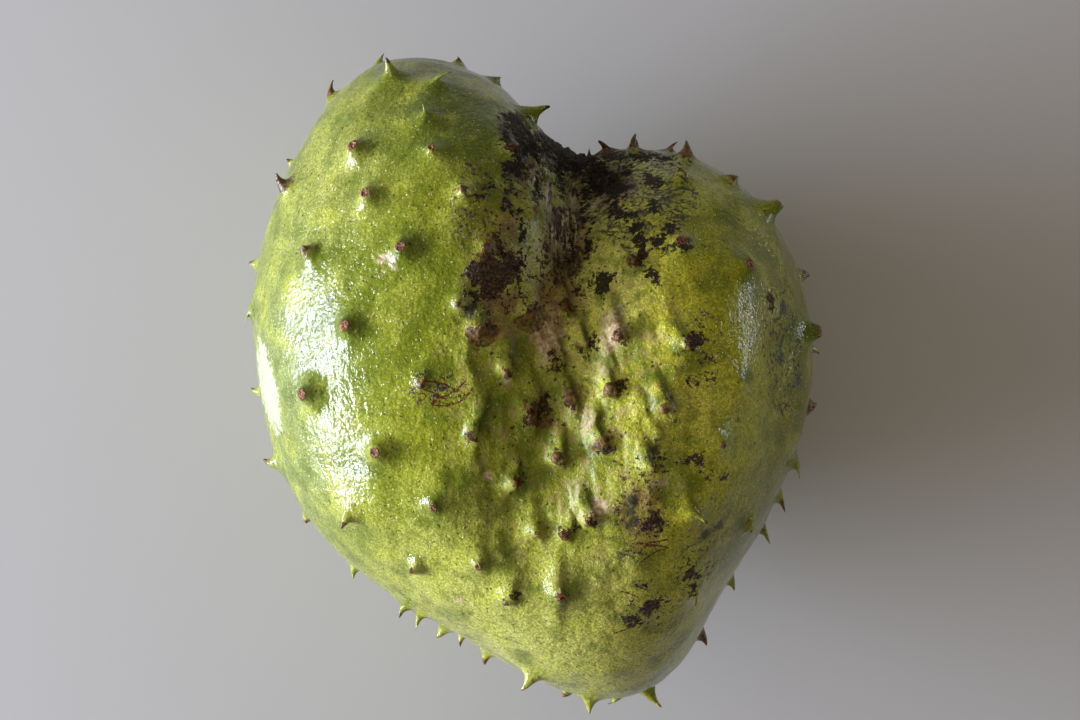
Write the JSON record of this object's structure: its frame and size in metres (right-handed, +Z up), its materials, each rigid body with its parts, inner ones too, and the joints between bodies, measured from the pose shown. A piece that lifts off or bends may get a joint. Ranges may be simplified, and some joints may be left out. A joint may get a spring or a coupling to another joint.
{
  "type": "soursop fruit",
  "caption": "Heart-shaped soursop with a bumpy green rind, a notch between two lobes and short curled spines, lying on a small flat spot.",
  "frame": {"origin": "middle of the fruit's bounding box in plan, on the surface that the fruit lies on", "axes": "+X across the fruit, +Y from the blunt tip towards the notch and the two lobes, +Z up"},
  "size_m": [0.1572, 0.1804, 0.1342],
  "materials": {
    "rind": "leathery yellow-green rind with a low waxy sheen, brown-black scars near the notch and corky spine ends"
  },
  "bodies": {
    "root": {"fruit": "rind"}
  },
  "joints": []
}
